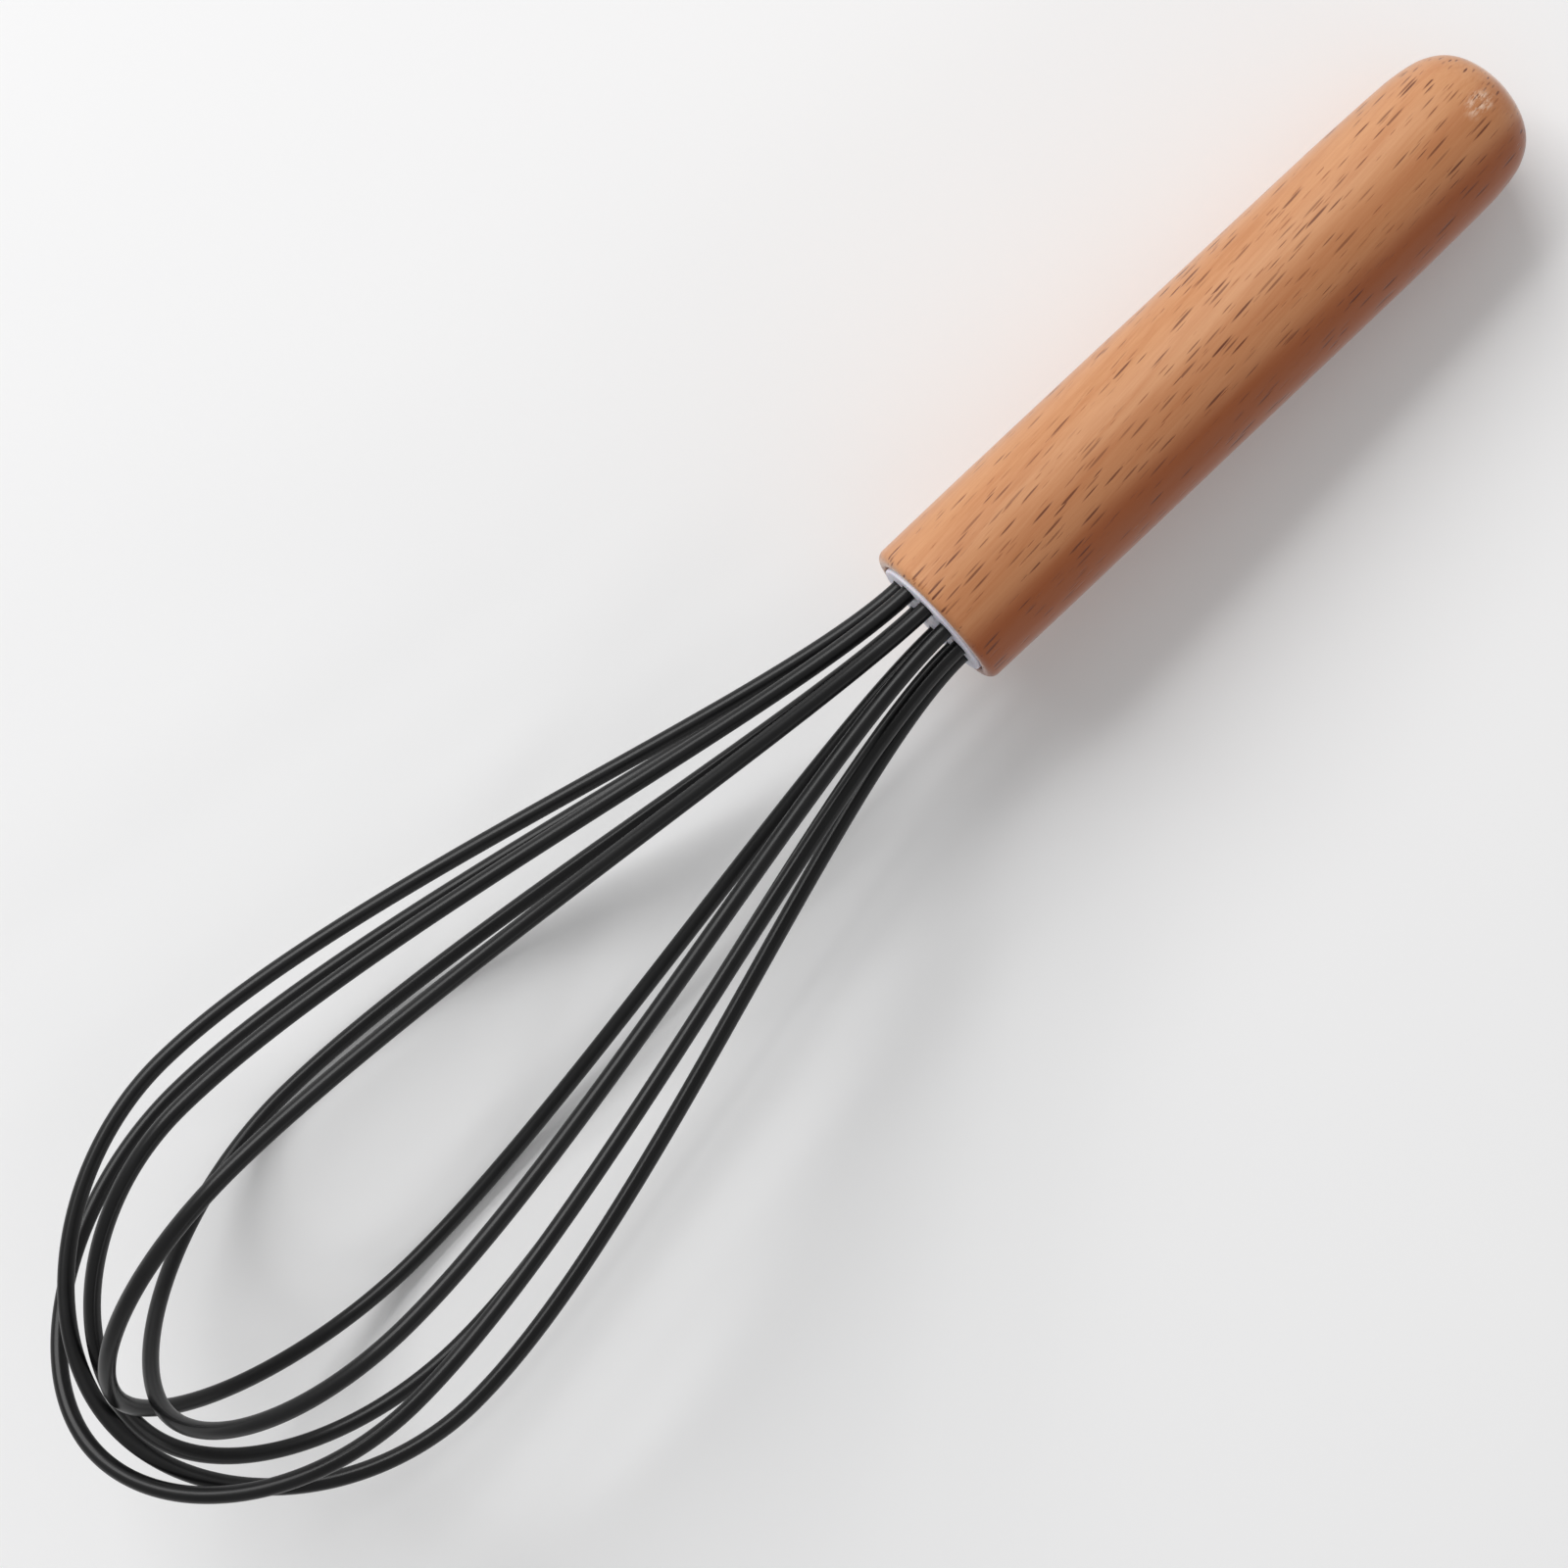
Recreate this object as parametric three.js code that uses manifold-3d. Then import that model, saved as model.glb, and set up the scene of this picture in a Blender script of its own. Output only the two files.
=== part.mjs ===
// Balloon whisk lying on a table: turned beech handle, five silicone-covered steel loops.
// Millimetres. Built along local X (handle at -X, loop tips at +X, rim of the handle at x = 0),
// then laid down as it rests: on two of the loops and on the butt of the handle.
import * as THREE from "three";
import Module from "manifold-3d";

// ---- handle ----
const HANDLE_LEN = 104.3;
const HANDLE_R = 11.3; // at the front
const BUTT_FLAT_R = 3.2; // small turned flat at the pole of the butt
const RIM_ROUND = 1.3;
const MOUTH_R = 9.3; // wider step of the bore, for the plug's flange
const MOUTH_DEPTH = 3;
const MOUTH_CHAMFER = 0.3;
const BORE_R = 8;
const BORE_DEPTH = 40; // to the shoulder of the drill cone
const DRILL_CONE = 3.5;
const HANDLE_SIDES = 40;

// ---- plug and potting that hold the wires ----
const PLUG_PROUD = 0.4; // face of the plug in front of the rim
const PLUG_LEN = 8.4;
const PLUG_R = 7.75;
const FLANGE_R = 9;
const FLANGE_LEN = 3.1;
const PLUG_CHAMFER = 0.35;
const POT_GAP = 0.4; // between the back of the plug and the potting
const POT_LEN = 29;
const POT_R = 7.75;
const HOLES = 10; // evenly round the ring
const HOLE_RING_R = 6.1;
const HOLE_RING_TURN = -3; // degrees
const SLEEVE_HOLE_R = 1.45;
const CORE_HOLE_R = 0.95;
const CORE_HOLE_SPARE = 0.3; // the holes go this much deeper than the cores
const PLUG_SIDES = 32;
const HOLE_SIDES = 10;

// ---- wires ----
const SLEEVE_R = 1.14; // outer radius of the silicone
const SLEEVE_BORE_R = 0.83;
const CORE_R = 0.7; // steel
const SLEEVE_END = 7.9; // length of sleeve inside the plug
const CORE_END = 32.4; // length of core behind the plug face
const SLEEVE_SIDES = 8;
const CORE_SIDES = 6;

// Shape shared by the loops. Shares of the length to the widest point, or of the loop's nose.
const WIDEST_AT = 0.76; // of the reach
const LEG_START = 0.2;
const LEG_FINISH = 0.28;
const NOSE_START = 0.53;
const NOSE_FINISH = 0.52;
const CAGE_LEAN = 1.3; // degrees, the cage leans this much to +Y

// Each loop: its hole on the ring and the plane of the loop (degrees round the axis, from +Y
// to +Z), its reach in front of the plug, its half widths on both sides, and how far its tip
// sits along and across its plane. The loops are stacked, innermost first.
const LOOPS = [
  { hole: 72, plane: 59, reach: 144.6, half: [33.5, 31], along: 1.5, across: -0.4 },
  { hole: -72, plane: -66, reach: 148.1, half: [30, 32.5], along: -0.5, across: -0.3 },
  { hole: -36, plane: -34, reach: 150.6, half: [30, 28.5], along: 6.5, across: -3.2 },
  { hole: 0, plane: 4, reach: 150.6, half: [30, 31], along: 0, across: 3.2 },
  { hole: 36, plane: 28, reach: 155.6, half: [29.5, 29], along: -1.5, across: 0.3 },
];
const LEG_STEPS = 12;
const NOSE_STEPS = 12;

// ---- how it lies ----
const ROLL = 2.1; // degrees about the axis
const PITCH = 5.4; // degrees, tips up
const RIM_X = -26.18; // where the middle of the rim ends up
const RIM_Y = -2.94;
const RIM_Z = 19.66;

const wasm = await Module();
wasm.setup();
const { Manifold, Mesh } = wasm;

const radians = THREE.MathUtils.degToRad;
const material = (color, roughness, metalness = 0) =>
  new THREE.MeshStandardMaterial({ color, roughness, metalness });
const BEECH = material(0xc58a5c, 0.5);
const SILICONE = material(0x26262a, 0.5);
const STEEL = material(0xb8bbc0, 0.3, 1);
const NYLON = material(0xd9d7e0, 0.5);
const EPOXY = material(0xcfc6a4, 0.4);

const group = new THREE.Group();
function add(name, geometry, look) {
  const mesh = new THREE.Mesh(geometry, look);
  mesh.name = name;
  group.add(mesh);
}

// A profile of [x, radius] points, both ends on the axis, turned about local X.
function turned(profile, sides) {
  const points = profile.map(([x, r]) => new THREE.Vector2(r, x));
  return new THREE.LatheGeometry(points, sides).rotateZ(-Math.PI / 2);
}

function solid(geometry) {
  const bare = new THREE.BufferGeometry();
  bare.setAttribute("position", geometry.toNonIndexed().getAttribute("position"));
  const p = bare.getAttribute("position");
  const keys = new Map(), verts = [], tris = [];
  for (let i = 0; i < p.count; i++) {
    const v = [p.getX(i), p.getY(i), p.getZ(i)];
    const key = v.map((c) => Math.round(c * 1e4)).join();
    if (!keys.has(key)) keys.set(key, verts.push(v) - 1);
    tris.push(keys.get(key));
  }
  const kept = [];
  for (let i = 0; i < tris.length; i += 3) {
    const [a, b, c] = tris.slice(i, i + 3);
    if (a !== b && b !== c && a !== c) kept.push(a, b, c);
  }
  return new Manifold(new Mesh({
    numProp: 3,
    vertProperties: new Float32Array(verts.flat()),
    triVerts: new Uint32Array(kept),
  }));
}

function geometryOf(body) {
  const m = body.getMesh();
  const g = new THREE.BufferGeometry();
  g.setAttribute("position", new THREE.BufferAttribute(m.vertProperties.slice(), 3));
  g.setIndex(new THREE.BufferAttribute(m.triVerts.slice(), 1));
  const flat = g.toNonIndexed();
  flat.computeVertexNormals();
  return flat;
}

// A place on the ring of wire holes.
function onRing(degrees) {
  const a = radians(degrees + HOLE_RING_TURN);
  return [HOLE_RING_R * Math.cos(a), HOLE_RING_R * Math.sin(a)];
}

// A turned body with a ring of holes parallel to the axis.
function ringed(profile, holeR, from, to) {
  let body = solid(turned(profile, PLUG_SIDES));
  for (let i = 0; i < HOLES; i++) {
    const [y, z] = onRing((360 / HOLES) * i);
    const drill = turned([[from, 0], [from, holeR], [to, holeR], [to, 0]], HOLE_SIDES);
    body = body.subtract(solid(drill.translate(0, y, z)));
  }
  return geometryOf(body);
}

// ---- handle ----
// Blunt domed butt that runs into a long gentle taper, as [distance from the butt, radius].
const BUTT = [
  [0, BUTT_FLAT_R], [0.35, 5], [1.4, 7.2], [2.75, 8.7], [4.7, 9.8], [6.7, 10.35],
  [9.3, 10.72], [12, 10.88], [18.5, 11.05], [26, 11.16], [52, 11.25], [86, 11.36],
];
const rim = [0, 30, 60, 90].map((a) => [
  -RIM_ROUND + RIM_ROUND * Math.sin(radians(a)),
  HANDLE_R - RIM_ROUND + RIM_ROUND * Math.cos(radians(a)),
]);
add("wood_handle", turned([
  [-HANDLE_LEN, 0],
  ...BUTT.map(([d, r]) => [d - HANDLE_LEN, r]),
  ...rim,
  [0, MOUTH_R + MOUTH_CHAMFER],
  [-MOUTH_CHAMFER, MOUTH_R],
  [-MOUTH_DEPTH, MOUTH_R],
  [-MOUTH_DEPTH, BORE_R],
  [-BORE_DEPTH, BORE_R],
  [-BORE_DEPTH - DRILL_CONE, 0],
], HANDLE_SIDES), BEECH);

// ---- plug and potting ----
const plugFront = PLUG_PROUD;
const plugBack = plugFront - PLUG_LEN;
add("wire_plug", ringed([
  [plugBack, 0],
  [plugBack, PLUG_R],
  [plugFront - FLANGE_LEN, PLUG_R],
  [plugFront - FLANGE_LEN, FLANGE_R],
  [plugFront - PLUG_CHAMFER, FLANGE_R],
  [plugFront, FLANGE_R - PLUG_CHAMFER],
  [plugFront, 0],
], SLEEVE_HOLE_R, plugBack - 1, plugFront + 1), NYLON);

const potFront = plugBack - POT_GAP;
add("wire_potting", ringed([
  [potFront - POT_LEN, 0],
  [potFront - POT_LEN, POT_R],
  [potFront, POT_R],
  [potFront, 0],
], CORE_HOLE_R, plugFront - CORE_END - CORE_HOLE_SPARE, potFront + 1), EPOXY);

// ---- wires ----
// A path made of pieces, each with its own number of even steps.
class WirePath extends THREE.Curve {
  constructor(pieces) {
    super();
    this.pieces = pieces;
    this.steps = pieces.reduce((sum, piece) => sum + piece.steps, 0);
  }
  getUtoTmapping(u) {
    return u;
  }
  getPoint(t, target = new THREE.Vector3()) {
    let at = t * this.steps;
    for (const { curve, steps, back } of this.pieces) {
      if (at <= steps || curve === this.pieces.at(-1).curve) {
        const share = Math.min(at / steps, 1);
        return curve.getPoint(back ? 1 - share : share, target);
      }
      at -= steps;
    }
    return target;
  }
}

function wirePath(loop, inside) {
  const a = radians(loop.plane);
  const wide = new THREE.Vector3(0, Math.cos(a), Math.sin(a));
  const normal = new THREE.Vector3(0, -Math.sin(a), Math.cos(a));
  const forward = new THREE.Vector3(1, Math.tan(radians(CAGE_LEAN)), 0);
  const start = new THREE.Vector3(plugFront, 0, 0);
  const toWidest = WIDEST_AT * loop.reach;
  const nose = loop.reach - toWidest;
  const point = (x, out, share) => start.clone()
    .addScaledVector(forward, x)
    .addScaledVector(wide, out + share * loop.along)
    .addScaledVector(normal, share * loop.across);
  const tip = point(loop.reach, 0, 1);
  const halves = [-1, 1].map((side, i) => {
    const half = side * loop.half[i];
    const [y, z] = onRing(loop.hole);
    const hole = new THREE.Vector3(plugFront, side * y, side * z);
    const widest = point(toWidest, half, 0.5);
    const ahead = (p, x) => p.clone().add(new THREE.Vector3(x, 0, 0));
    return {
      hole,
      leg: new THREE.CubicBezierCurve3(
        hole,
        ahead(hole, LEG_START * toWidest),
        widest.clone().addScaledVector(forward, -LEG_FINISH * toWidest),
        widest,
      ),
      nose: new THREE.CubicBezierCurve3(
        widest,
        widest.clone().addScaledVector(forward, NOSE_START * nose),
        tip.clone().addScaledVector(wide, NOSE_FINISH * half),
        tip,
      ),
      tail: (from, to) => new THREE.LineCurve3(ahead(hole, -from), ahead(hole, -to)),
    };
  });
  const pieces = [];
  const [left, right] = halves;
  const ends = [...inside, 0];
  for (let i = 0; i < inside.length; i++)
    pieces.push({ curve: left.tail(ends[i], ends[i + 1]), steps: 1 });
  pieces.push(
    { curve: left.leg, steps: LEG_STEPS },
    { curve: left.nose, steps: NOSE_STEPS },
    { curve: right.nose, steps: NOSE_STEPS, back: true },
    { curve: right.leg, steps: LEG_STEPS, back: true },
  );
  for (let i = inside.length; i > 0; i--)
    pieces.push({ curve: right.tail(ends[i], ends[i - 1]), steps: 1 });
  return new WirePath(pieces);
}

const polygon = (Kind, r, sides) =>
  new Kind(Array.from({ length: sides }, (_, i) => {
    const a = (2 * Math.PI * i) / sides;
    return new THREE.Vector2(r * Math.cos(a), r * Math.sin(a));
  }));

function swept(shape, path) {
  return new THREE.ExtrudeGeometry(shape, { extrudePath: path, steps: path.steps });
}

LOOPS.forEach((loop, i) => {
  add(`wire_core_${i + 1}`,
    swept(polygon(THREE.Shape, CORE_R, CORE_SIDES), wirePath(loop, [CORE_END, SLEEVE_END])), STEEL);
  const ring = polygon(THREE.Shape, SLEEVE_R, SLEEVE_SIDES);
  ring.holes.push(polygon(THREE.Path, SLEEVE_BORE_R, CORE_SIDES));
  add(`silicone_sleeve_${i + 1}`, swept(ring, wirePath(loop, [SLEEVE_END])), SILICONE);
});

group.rotation.set(radians(ROLL), -radians(PITCH), 0, "YXZ");
group.position.set(RIM_X, RIM_Y, RIM_Z);

export default group;
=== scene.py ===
import math

import bpy
from mathutils import Matrix, Vector


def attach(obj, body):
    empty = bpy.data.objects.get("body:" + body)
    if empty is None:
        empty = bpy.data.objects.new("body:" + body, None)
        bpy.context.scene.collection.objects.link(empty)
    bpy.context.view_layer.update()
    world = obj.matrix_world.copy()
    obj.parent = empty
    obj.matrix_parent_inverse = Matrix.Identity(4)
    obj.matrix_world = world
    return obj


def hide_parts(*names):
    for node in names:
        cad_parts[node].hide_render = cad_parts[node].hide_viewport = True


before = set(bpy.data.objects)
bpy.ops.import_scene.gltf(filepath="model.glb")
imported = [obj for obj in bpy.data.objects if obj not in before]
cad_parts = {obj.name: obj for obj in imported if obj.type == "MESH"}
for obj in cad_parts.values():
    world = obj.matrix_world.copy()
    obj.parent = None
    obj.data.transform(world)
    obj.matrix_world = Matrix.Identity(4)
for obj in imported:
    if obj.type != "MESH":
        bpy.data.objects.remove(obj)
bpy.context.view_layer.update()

MM = 0.001

# ---- driving dimensions, in millimetres, as in the CAD model ----
HANDLE_LEN = 104.3
HANDLE_R = 11.3
# The butt and the body: distance from the pole of the butt, and radius.
BUTT = [
    (0, 3.2), (0.35, 5), (1.4, 7.2), (2.75, 8.7), (4.7, 9.8), (6.7, 10.35),
    (9.3, 10.72), (12, 10.88), (18.5, 11.05), (26, 11.16), (52, 11.25), (86, 11.36),
]
BUTT_FLAT_RINGS = (1.6, 3)
RIM_ROUND = 1.3
MOUTH_R = 9.3
MOUTH_DEPTH = 3
MOUTH_ROUND = 0.3
BORE_R = 8
BORE_DEPTH = 40
DRILL_CONE = 3.5

PLUG_PROUD = 0.4
PLUG_LEN = 8.4
PLUG_R = 7.75
PLUG_CHAMFER = 0.3
FLANGE_R = 9
FLANGE_LEN = 3.1
FLANGE_CHAMFER = 0.2
# The rounded front edge of the flange: how far behind its face, and how far inside its rim.
FLANGE_EDGE = [(0.35, 0), (0.2, 0.03), (0.08, 0.12), (0, 0.35)]
HOLES = 10
HOLE_R = 1.3
HOLE_RING_R = 6.1
HOLE_RING_TURN = -3
DRILL_FROM, DRILL_TO = -12, 2
SHARP_ANGLE = 35

SLEEVE_R = 1.14
SLEEVE_BORE_R = 0.83
CORE_R = 0.7
SLEEVE_END = 7.9
CORE_END = 32.4

# The loops' shape: the widest place as a share of the reach, the curves' handles as shares of the
# length up to it (leg) and beyond it (nose), and the cage's lean to +Y in degrees.
WIDEST_AT = 0.76
LEG_START, LEG_FINISH = 0.2, 0.28
NOSE_START, NOSE_FINISH = 0.53, 0.52
CAGE_LEAN = 1.3
# Each loop, from the innermost: its hole and its plane in degrees from +Y to +Z, its reach and half
# widths, and how far its tip sits along and across its plane.
LOOPS = [
    dict(hole=72, plane=59, reach=144.6, half=(33.5, 31), along=1.5, across=-0.4),
    dict(hole=-72, plane=-66, reach=148.1, half=(30, 32.5), along=-0.5, across=-0.3),
    dict(hole=-36, plane=-34, reach=150.6, half=(30, 28.5), along=6.5, across=-3.2),
    dict(hole=0, plane=4, reach=150.6, half=(30, 31), along=0, across=3.2),
    dict(hole=36, plane=28, reach=155.6, half=(29.5, 29), along=-1.5, across=0.3),
]

# Fineness of the meshes.
HANDLE_SIDES, PLUG_SIDES, HOLE_SIDES = 144, 96, 32
SLEEVE_SIDES, CORE_SIDES = 24, 12
BUTT_STEPS = 5
TAIL_STEPS, LEG_STEPS, NOSE_STEPS = 8, 70, 70
RIM_ANGLES = range(0, 91, 10)
MOUTH_ANGLES = range(0, 91, 30)
ON_AXIS = 1e-6

# How the whisk lies: degrees about its axis and tips up, and where the middle of the rim is.
ROLL, PITCH = 2.1, 5.4
RIM = (-26.18, -2.94, 19.66)
LAID = (
    Matrix.Translation(Vector(RIM) * MM)
    @ Matrix.Rotation(math.radians(-PITCH), 4, "Y")
    @ Matrix.Rotation(math.radians(ROLL), 4, "X")
)


# ---- node helpers ----
class Nodes:
    """A material's node tree, with one short call per node."""

    def __init__(self, name):
        self.material = bpy.data.materials.new(name)
        self.material.use_nodes = True
        self.tree = self.material.node_tree
        self.tree.nodes.clear()
        self.shader = self.new("ShaderNodeBsdfPrincipled")
        out = self.new("ShaderNodeOutputMaterial")
        self.link(self.shader.outputs["BSDF"], out.inputs["Surface"])

    def new(self, kind, **settings):
        node = self.tree.nodes.new(kind)
        for key, value in settings.items():
            setattr(node, key, value)
        return node

    def link(self, source, socket):
        self.tree.links.new(source, socket)

    def put(self, socket, value):
        if isinstance(value, bpy.types.NodeSocket):
            self.link(value, socket)
        else:
            socket.default_value = value

    def math(self, operation, *values):
        node = self.new("ShaderNodeMath", operation=operation)
        for socket, value in zip(node.inputs, values):
            self.put(socket, value)
        return node.outputs[0]

    def vector(self, operation, *values, out=0):
        node = self.new("ShaderNodeVectorMath", operation=operation)
        for socket, value in zip(node.inputs, values):
            self.put(socket, value)
        return node.outputs[out]

    def length(self, vector):
        return self.vector("LENGTH", vector, out=1)

    def remap(self, value, low, high, to_low=0.0, to_high=1.0, smooth=True):
        node = self.new("ShaderNodeMapRange", clamp=True)
        node.interpolation_type = "SMOOTHSTEP" if smooth else "LINEAR"
        for socket, given in zip(node.inputs, (value, low, high, to_low, to_high)):
            self.put(socket, given)
        return node.outputs[0]

    def noise(self, where, scale, detail=2.0, rough=0.5, out=0):
        """Noise with scale cells in a metre: one number, or three, one along each axis."""
        if isinstance(scale, tuple):
            where, scale = self.vector("MULTIPLY", where, scale), 1
        node = self.new("ShaderNodeTexNoise")
        self.put(node.inputs["Vector"], where)
        node.inputs["Scale"].default_value = scale
        node.inputs["Detail"].default_value = detail
        node.inputs["Roughness"].default_value = rough
        return node.outputs[out]

    def mix(self, share, a, b):
        node = self.new("ShaderNodeMix", data_type="RGBA")
        self.put(node.inputs[0], share)
        self.put(node.inputs[6], a)
        self.put(node.inputs[7], b)
        return node.outputs[2]

    def coords(self, turn=Matrix.Identity(4)):
        """A place in the whisk's own frame, X along its axis, turned by a rotation."""
        mapping = self.new("ShaderNodeMapping")
        self.link(self.new("ShaderNodeTexCoord").outputs["Object"], mapping.inputs["Vector"])
        back = turn @ LAID.inverted()
        mapping.inputs["Location"].default_value = back.translation
        mapping.inputs["Rotation"].default_value = back.to_euler("XYZ")
        return mapping.outputs[0]

    def bump(self, height, depth, strength, under=None):
        node = self.new("ShaderNodeBump")
        node.inputs["Strength"].default_value = strength
        node.inputs["Distance"].default_value = depth
        self.link(height, node.inputs["Height"])
        if under is not None:
            self.link(under, node.inputs["Normal"])
        return node.outputs[0]

    def look(self, **sockets):
        for name, value in sockets.items():
            self.put(self.shader.inputs[name.replace("_", " ")], value)
        return self.material


def rgb(r, g, b):
    """An sRGB colour from 0 to 255 as the linear colour that a socket takes."""
    def linear(c):
        c /= 255
        return c / 12.92 if c < 0.04045 else ((c + 0.055) / 1.055) ** 2.4
    return (linear(r), linear(g), linear(b), 1)


# ---- beech ----
# The grain runs a little askew to the handle's axis and wanders sideways along its length.
GRAIN = (
    Matrix.Rotation(math.radians(1.5), 4, "Y")
    @ Matrix.Rotation(math.radians(-5), 4, "Z")
)
WANDER_CELLS = (22, 90, 90)
WANDER_REACH = (0, 0.0012, 0.0012)

# Noise cells in a metre, along the grain and both ways across it.
BAND_CELLS = (5, 95, 60)
STREAK_CELLS = (28, 620, 400)
FIBRE_CELLS = (160, 2900, 2400)
SCRATCH_CELLS = (500, 1900, 1900)

# Ray flecks: the cell that holds each one and its half size, in metres, the share of cells that
# have one, and where the pattern starts.
LARGE_FLECKS = dict(
    cell=(0.0055, 0.001, 0.0009), half=(0.0027, 0.0002, 0.00045), presence=0.85, start=3)
SMALL_FLECKS = dict(
    cell=(0.0038, 0.0009, 0.0008), half=(0.0015, 0.00013, 0.0004), presence=0.85, start=11)
# Flecks differ in size and strength. A fleck fades in over its edge, as shares of its size.
FLECK_SIZES = (0.45, 1.15)
FLECK_STRENGTHS = (0.45, 1)
FLECK_EDGE = (1.0, 0.45)
PRESENCE_EDGE = 0.08

# The +Y side of the handle, away from the key light, is darker: partly heartwood, partly painted
# shade. It deepens in two steps across the handle: from and to in metres, and the share of the dark
# colour there. The bands of growth shift its border.
HEARTWOOD_AND_SHADE_STEPS = [(-0.0015, 0.0025, 0.05, 0.38), (0.0055, 0.0095, 0, 0.55)]
BORDER_SHIFT = 0.004

# The scuff on the shoulder of the butt, scratches under a painted highlight: its middle in
# millimetres, and its fade in metres.
SCUFF_AND_HIGHLIGHT_AT = (-98.1, 0, 10.2)
SCUFF_AND_HIGHLIGHT_SQUASH = (0.8, 1.15, 1)
SCUFF_AND_HIGHLIGHT_FADE = (0.0026, 0.0006)


def ray_flecks(n, where, cell, half, presence, start):
    """Beech's dark ray flecks: one thin spindle in each stretched cell."""
    scaled = n.vector("MULTIPLY", where, tuple(1 / c for c in cell))
    scaled = n.vector("ADD", scaled, (start, start * 1.7, start * 0.6))
    cells = n.new("ShaderNodeTexVoronoi", voronoi_dimensions="3D", feature="F1")
    n.link(scaled, cells.inputs["Vector"])
    cells.inputs["Scale"].default_value = 1
    cells.inputs["Randomness"].default_value = 1
    away = n.vector("SUBTRACT", scaled, cells.outputs["Position"])
    away = n.vector("MULTIPLY", away, tuple(c / h for c, h in zip(cell, half)))
    chance = n.new("ShaderNodeSeparateColor")
    n.link(cells.outputs["Color"], chance.inputs[0])
    size = n.remap(chance.outputs[0], 0, 1, *FLECK_SIZES, smooth=False)
    fleck = n.remap(n.math("DIVIDE", n.length(away), size), *FLECK_EDGE)
    there = n.remap(chance.outputs[1], 1 - presence, 1 - presence + PRESENCE_EDGE)
    strength = n.remap(chance.outputs[2], 0, 1, *FLECK_STRENGTHS, smooth=False)
    return n.math("MULTIPLY", n.math("MULTIPLY", fleck, there), strength)


def scuff_and_highlight_on(n, grain):
    """Scratches along the grain, in a spot that fades out. The spot's pale colour is a painted
    highlight.
    """
    away = n.vector("SUBTRACT", n.coords(), tuple(c * MM for c in SCUFF_AND_HIGHLIGHT_AT))
    spot = n.remap(n.length(n.vector("MULTIPLY", away, SCUFF_AND_HIGHLIGHT_SQUASH)), *SCUFF_AND_HIGHLIGHT_FADE)
    scratches = n.noise(grain, SCRATCH_CELLS, 3, 0.7)
    return n.math("MULTIPLY", spot, n.remap(scratches, 0.4, 0.7))


def beech():
    n = Nodes("beech")
    grain = n.coords(GRAIN)
    wander = n.vector("SUBTRACT", n.noise(grain, WANDER_CELLS, out=1), (0.5, 0.5, 0.5))
    grain = n.vector("ADD", grain, n.vector("MULTIPLY", wander, WANDER_REACH))

    large = ray_flecks(n, grain, **LARGE_FLECKS)
    small = ray_flecks(n, grain, **SMALL_FLECKS)
    bands = n.noise(grain, BAND_CELLS, 3, 0.55)
    streaks = n.noise(grain, STREAK_CELLS, 3, 0.6)
    fibre = n.noise(grain, FIBRE_CELLS, 2, 0.6)
    scuff_and_highlight = scuff_and_highlight_on(n, grain)

    place = n.new("ShaderNodeSeparateXYZ")
    n.link(n.coords(), place.inputs[0])
    # The darker +Y side, away from the key light: heartwood and painted shade.
    across = n.math("MULTIPLY_ADD", bands, BORDER_SHIFT, place.outputs[1])
    heartwood_and_shade = n.math("ADD", *[n.remap(across, *step) for step in HEARTWOOD_AND_SHADE_STEPS])

    tone = n.mix(n.remap(bands, 0.3, 0.7), rgb(191, 133, 87), rgb(204, 149, 107))
    for share, colour in (
        (n.remap(streaks, 0.35, 0.75, 0, 0.4), rgb(172, 104, 60)),
        (n.remap(fibre, 0.3, 0.8, 0, 0.25), rgb(222, 168, 124)),
        # painted shade with heartwood: darker towards +Y, the side away from the key light
        (heartwood_and_shade, rgb(147, 69, 6)),
        (n.math("MULTIPLY", small, 0.6), rgb(128, 64, 28)),
        (n.math("MULTIPLY", large, 0.92), rgb(90, 37, 12)),
        # painted highlight: the scratched spot on the butt is mixed towards a pale colour
        (n.math("MULTIPLY", scuff_and_highlight, 0.7), rgb(240, 214, 192)),
    ):
        tone = n.mix(share, tone, colour)

    sunk = n.math("MULTIPLY", n.math("ADD", large, small), -1)
    relief = n.bump(sunk, 0.00008, 0.5)
    relief = n.bump(fibre, 0.00003, 0.25, under=relief)
    relief = n.bump(scuff_and_highlight, 0.00006, 0.6, under=relief)
    return n.look(
        Base_Color=tone, Roughness=n.remap(streaks, 0.2, 0.8, 0.56, 0.7), Normal=relief,
        IOR=1.45, Specular_IOR_Level=0.33, Coat_Weight=0.22, Coat_Roughness=0.5,
        Sheen_Weight=0.55, Sheen_Roughness=0.35,
    )


# ---- the other materials ----
def silicone():
    n = Nodes("silicone")
    where = n.coords()
    cloud = n.noise(where, 120, 3)
    speck = n.noise(where, 3200)
    return n.look(
        Base_Color=n.mix(n.remap(cloud, 0.3, 0.7), rgb(9, 9, 10), rgb(15, 15, 16)),
        Roughness=n.remap(cloud, 0.3, 0.7, 0.38, 0.46), Normal=n.bump(speck, 0.00001, 0.25),
        IOR=1.41, Specular_IOR_Level=0.3, Coat_Weight=0.22, Coat_Roughness=0.15,
    )


def steel():
    n = Nodes("spring_steel")
    drawn = n.noise(n.coords(), (60, 2500, 2500))
    return n.look(
        Base_Color=n.mix(drawn, rgb(168, 170, 174), rgb(205, 206, 209)), Metallic=1.0,
        Roughness=n.remap(drawn, 0.3, 0.7, 0.22, 0.38), Normal=n.bump(drawn, 0.00001, 0.3),
    )


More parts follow.
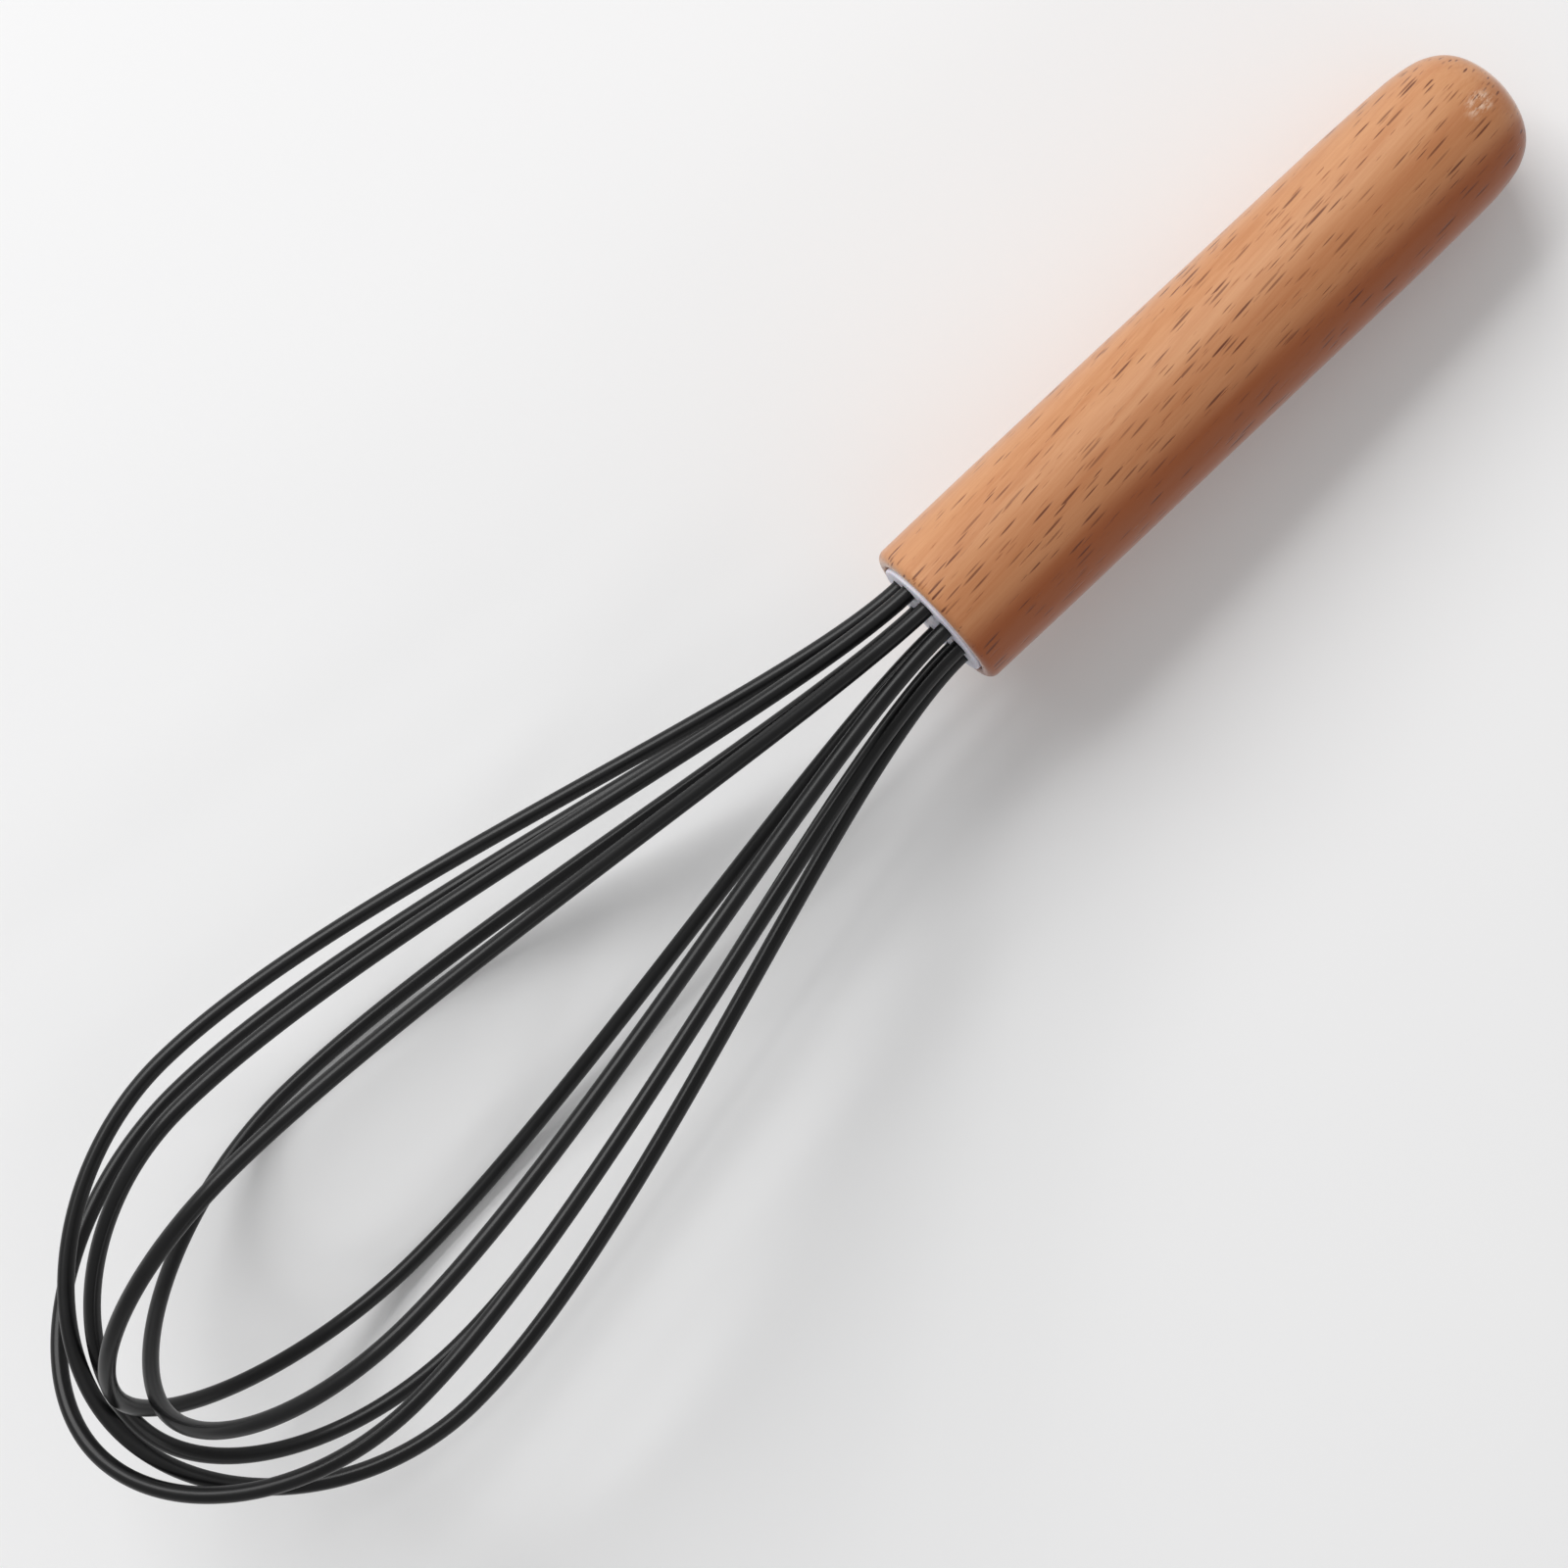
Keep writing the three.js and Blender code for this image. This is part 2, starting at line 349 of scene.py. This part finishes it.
def nylon():
    n = Nodes("plug_nylon")
    where = n.coords()
    cloud = n.noise(where, 260, 3)
    grit = n.noise(where, 2600, 3, 0.6)
    return n.look(
        Base_Color=n.mix(n.remap(cloud, 0.3, 0.7), rgb(208, 205, 218), rgb(224, 222, 232)),
        Roughness=n.remap(grit, 0.2, 0.8, 0.42, 0.6), Normal=n.bump(grit, 0.00003, 0.4),
        Subsurface_Weight=0.1, Subsurface_Scale=0.001,
    )


def epoxy():
    n = Nodes("potting_epoxy")
    cloud = n.noise(n.coords(), 400, 4)
    return n.look(
        Base_Color=n.mix(cloud, rgb(176, 160, 112), rgb(214, 204, 168)),
        Roughness=n.remap(cloud, 0.3, 0.7, 0.2, 0.35), Normal=n.bump(cloud, 0.00005, 0.4),
    )


BEECH, SILICONE, STEEL, NYLON, EPOXY = beech(), silicone(), steel(), nylon(), epoxy()


# ---- mesh helpers ----
def laid_mesh(name, verts, faces):
    """A mesh in the whisk's own millimetres, laid on the table."""
    mesh = bpy.data.meshes.new(name)
    mesh.from_pydata([LAID @ (Vector(v) * MM) for v in verts], [], faces)
    return mesh


def put_in_scene(name, data):
    obj = bpy.data.objects.new(name, data)
    bpy.context.collection.objects.link(obj)
    return obj


def piece(name, verts, faces, material, slot, nodes):
    """A smooth piece in place of its CAD nodes."""
    mesh = laid_mesh(name, verts, faces)
    mesh.materials.append(material)
    obj = put_in_scene(name, mesh)
    mesh.shade_smooth()
    mesh.update()
    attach(obj, "root")
    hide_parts(*nodes)
    return obj


def turned(profile, sides):
    """Vertices and faces of a profile of (x, radius), both ends on the axis, turned about X."""
    verts, rings = [], []
    for x, r in profile:
        if r < ON_AXIS:
            rings.append([len(verts)])
            verts.append((x, 0, 0))
            continue
        rings.append(list(range(len(verts), len(verts) + sides)))
        for i in range(sides):
            a = 2 * math.pi * i / sides
            verts.append((x, r * math.cos(a), r * math.sin(a)))
    faces = []
    for low, high in zip(rings, rings[1:]):
        for i in range(sides):
            j = (i + 1) % sides
            if len(low) == 1:
                faces.append((low[0], high[j], high[i]))
            elif len(high) == 1:
                faces.append((low[i], low[j], high[0]))
            else:
                faces.append((low[i], low[j], high[j], high[i]))
    return verts, faces


def spline(points, steps):
    """Points on a smooth curve through the given ones."""
    made = []
    padded = [points[0], *points, points[-1]]
    for a, b, c, d in zip(padded, padded[1:], padded[2:], padded[3:]):
        for k in range(steps):
            t = k / steps
            made.append(tuple(
                0.5 * (2 * q + (r - p) * t + (2 * p - 5 * q + 4 * r - s) * t * t
                       + (3 * q - p - 3 * r + s) * t ** 3)
                for p, q, r, s in zip(a, b, c, d)
            ))
    return [*made, points[-1]]


# ---- handle ----
def rim_point(degrees):
    a = math.radians(degrees)
    return RIM_ROUND * (math.sin(a) - 1), HANDLE_R + RIM_ROUND * (math.cos(a) - 1)


def mouth_point(degrees):
    a = math.radians(degrees)
    return MOUTH_ROUND * (math.cos(a) - 1), MOUTH_R + MOUTH_ROUND * (1 - math.sin(a))


def handle_profile():
    flat = [(-HANDLE_LEN, r) for r in (0, *BUTT_FLAT_RINGS)]
    butt = [(x - HANDLE_LEN, r) for x, r in BUTT]
    rim = [rim_point(a) for a in RIM_ANGLES]
    mouth = [mouth_point(a) for a in MOUTH_ANGLES]
    bore = [(-x, BORE_R) for x in (MOUTH_DEPTH, BORE_DEPTH / 2, BORE_DEPTH)]
    return [
        *flat, *spline([*butt, rim[0]], BUTT_STEPS), *rim[1:],
        *mouth, (-MOUTH_DEPTH, MOUTH_R), *bore, (-BORE_DEPTH - DRILL_CONE, 0),
    ]


piece("beech_handle", *turned(handle_profile(), HANDLE_SIDES), BEECH, "beech", ["wood_handle"])


# ---- plug ----
def on_ring(degrees):
    a = math.radians(degrees + HOLE_RING_TURN)
    return HOLE_RING_R * math.cos(a), HOLE_RING_R * math.sin(a)


def plug_profile():
    front, back = PLUG_PROUD, PLUG_PROUD - PLUG_LEN
    step = front - FLANGE_LEN
    return [
        (back, 0), (back, PLUG_R - PLUG_CHAMFER), (back + PLUG_CHAMFER, PLUG_R), (step, PLUG_R),
        (step, FLANGE_R - FLANGE_CHAMFER), (step + FLANGE_CHAMFER, FLANGE_R),
        *[(front - behind, FLANGE_R - inside) for behind, inside in FLANGE_EDGE],
        (front, 0),
    ]


def cut_holes(obj):
    """The ring of holes parallel to the axis, cut with applied booleans."""
    drill_profile = [(DRILL_FROM, 0), (DRILL_FROM, HOLE_R), (DRILL_TO, HOLE_R), (DRILL_TO, 0)]
    verts, faces = turned(drill_profile, HOLE_SIDES)
    for i in range(HOLES):
        y, z = on_ring(360 / HOLES * i)
        moved = [(x, v + y, w + z) for x, v, w in verts]
        drill = put_in_scene("drill", laid_mesh("drill", moved, faces))
        modifier = obj.modifiers.new("hole", "BOOLEAN")
        modifier.object, modifier.operation, modifier.solver = drill, "DIFFERENCE", "EXACT"
        bpy.context.view_layer.update()
        cut = bpy.data.meshes.new_from_object(
            obj.evaluated_get(bpy.context.evaluated_depsgraph_get()))
        obj.modifiers.clear()
        obj.data = cut
        bpy.data.objects.remove(drill)


plug = piece("plug", *turned(plug_profile(), PLUG_SIDES), NYLON, "plug_nylon", ["wire_plug"])
cut_holes(plug)
plug.data.shade_smooth()
plug.data.set_sharp_from_angle(angle=math.radians(SHARP_ANGLE))


# ---- wires ----
def bezier(a, b, c, d, count):
    """count points from a up to but not including d."""
    for k in range(count):
        t = k / count
        u = 1 - t
        yield u ** 3 * a + 3 * u * u * t * b + 3 * u * t * t * c + t ** 3 * d


def wire_path(loop, inside):
    """A loop's middle line, from inside the plug round the tip and back into it."""
    angle = math.radians(loop["plane"])
    wide = Vector((0, math.cos(angle), math.sin(angle)))
    normal = Vector((0, -math.sin(angle), math.cos(angle)))
    ahead = Vector((1, 0, 0))
    forward = Vector((1, math.tan(math.radians(CAGE_LEAN)), 0))
    to_widest = WIDEST_AT * loop["reach"]
    nose = loop["reach"] - to_widest

    def point(x, out, share):
        return (Vector((PLUG_PROUD, 0, 0)) + forward * x + wide * (out + share * loop["along"])
                + normal * share * loop["across"])

    tip = point(loop["reach"], 0, 1)
    halves = []
    for side, half in zip((-1, 1), loop["half"]):
        y, z = on_ring(loop["hole"])
        hole = Vector((PLUG_PROUD, side * y, side * z))
        widest = point(to_widest, side * half, 0.5)
        tail = [hole - ahead * inside * (1 - k / TAIL_STEPS) for k in range(TAIL_STEPS)]
        leg = bezier(
            hole, hole + ahead * LEG_START * to_widest,
            widest - forward * LEG_FINISH * to_widest, widest, LEG_STEPS)
        bow = bezier(
            widest, widest + forward * NOSE_START * nose,
            tip + wide * NOSE_FINISH * side * half, tip, NOSE_STEPS)
        halves.append([*tail, *leg, *bow])
    return [*halves[0], tip, *reversed(halves[1])]


def tube(path, outer, sides, inner=None):
    """A closed tube, round a bore if inner is given. Its rings don't twist along the path."""
    tangents = [(b - a).normalized() for a, b in zip([path[0], *path], [*path[1:], path[-1]])]
    side = tangents[0].orthogonal().normalized()
    verts, walls = [], [[] for _ in range(2 if inner else 1)]
    for p, t in zip(path, tangents):
        side = (side - t * side.dot(t)).normalized()
        up = t.cross(side)
        for wall, r in zip(walls, (outer, inner)):
            wall.append(range(len(verts), len(verts) + sides))
            for i in range(sides):
                a = 2 * math.pi * i / sides
                verts.append(p + (side * math.cos(a) + up * math.sin(a)) * r)
    faces = []
    for wall, turn in zip(walls, (1, -1)):
        for low, high in zip(wall, wall[1:]):
            for i in range(sides):
                j = (i + 1) % sides
                faces.append((low[i], low[j], high[j], high[i])[::turn])
    for end, turn in ((0, -1), (-1, 1)):
        if inner:
            for i in range(sides):
                j = (i + 1) % sides
                ring = (walls[0][end][i], walls[0][end][j], walls[1][end][j], walls[1][end][i])
                faces.append(ring[::turn])
        else:
            faces.append(tuple(walls[0][end])[::turn])
    return verts, faces


for i, loop in enumerate(LOOPS, 1):
    sleeve = tube(wire_path(loop, SLEEVE_END), SLEEVE_R, SLEEVE_SIDES, SLEEVE_BORE_R)
    piece(f"sleeve_{i}", *sleeve, SILICONE, "silicone", [f"silicone_sleeve_{i}"])
    core = tube(wire_path(loop, CORE_END), CORE_R, CORE_SIDES)
    piece(f"core_{i}", *core, STEEL, "spring_steel", [f"wire_core_{i}"])

# The potting keeps its CAD mesh.
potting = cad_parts["wire_potting"]
potting.data.materials.clear()
potting.data.materials.append(EPOXY)


# ---- studio: places and sizes in metres ----
FLOOR_HALF = 4
WORLD_STRENGTH = 0.45
LIGHTS_AIM = Vector((0, 0, 0.02))
SOFTBOXES = [
    dict(name="key", place=(-0.12, -1.38, 1.14), width=1.5, height=1, watts=25),
    dict(name="strip", place=(0.1, -0.95, 1.2), width=1.2, height=0.2, watts=1.6),
    dict(name="edge", place=(0, 1.3, 0.6), width=1.4, height=0.2, watts=1.5),
]
CAMERA_AT = Vector((-18.5, -15.4, 426.6)) * MM
CAMERA_AIM = Vector((3, -0.8, 29)) * MM
CAMERA_UP_HEADING = math.radians(-133.2)
LENS, SENSOR_WIDTH = 69.75, 36
CLIP_START, CLIP_END = 0.01, 20


def floor_material():
    n = Nodes("floor")
    cloud = n.noise(n.coords(), 14)
    return n.look(
        Base_Color=n.mix(cloud, (0.9, 0.9, 0.905, 1), (0.92, 0.92, 0.92, 1)), Roughness=0.8)


def lay_floor():
    corners = [(-1, -1, 0), (1, -1, 0), (1, 1, 0), (-1, 1, 0)]
    mesh = bpy.data.meshes.new("floor")
    mesh.from_pydata([Vector(c) * FLOOR_HALF for c in corners], [], [(0, 1, 2, 3)])
    mesh.materials.append(floor_material())
    put_in_scene("floor", mesh)


def light_world():
    world = bpy.data.worlds.new("studio")
    bpy.context.scene.world = world
    world.use_nodes = True
    background = world.node_tree.nodes["Background"]
    background.inputs["Color"].default_value = (1, 1, 1, 1)
    background.inputs["Strength"].default_value = WORLD_STRENGTH


def softbox(name, place, width, height, watts):
    data = bpy.data.lights.new(name, "AREA")
    data.shape, data.size, data.size_y, data.energy = "RECTANGLE", width, height, watts
    back = (Vector(place) - LIGHTS_AIM).normalized()
    put_in_scene(name, data).matrix_world = (
        Matrix.Translation(place) @ back.to_track_quat("Z", "Y").to_matrix().to_4x4())


def place_camera():
    data = bpy.data.cameras.new("camera")
    data.sensor_width, data.lens = SENSOR_WIDTH, LENS
    data.clip_start, data.clip_end = CLIP_START, CLIP_END
    camera = put_in_scene("camera", data)
    bpy.context.scene.camera = camera
    back = (CAMERA_AT - CAMERA_AIM).normalized()
    up_hint = Vector((math.cos(CAMERA_UP_HEADING), math.sin(CAMERA_UP_HEADING), 0))
    right = up_hint.cross(back).normalized()
    axes = Matrix((right, back.cross(right), back)).transposed()
    camera.matrix_world = Matrix.Translation(CAMERA_AT) @ axes.to_4x4()


lay_floor()
light_world()
for box in SOFTBOXES:
    softbox(**box)
place_camera()
bpy.context.scene.view_settings.view_transform = "Standard"
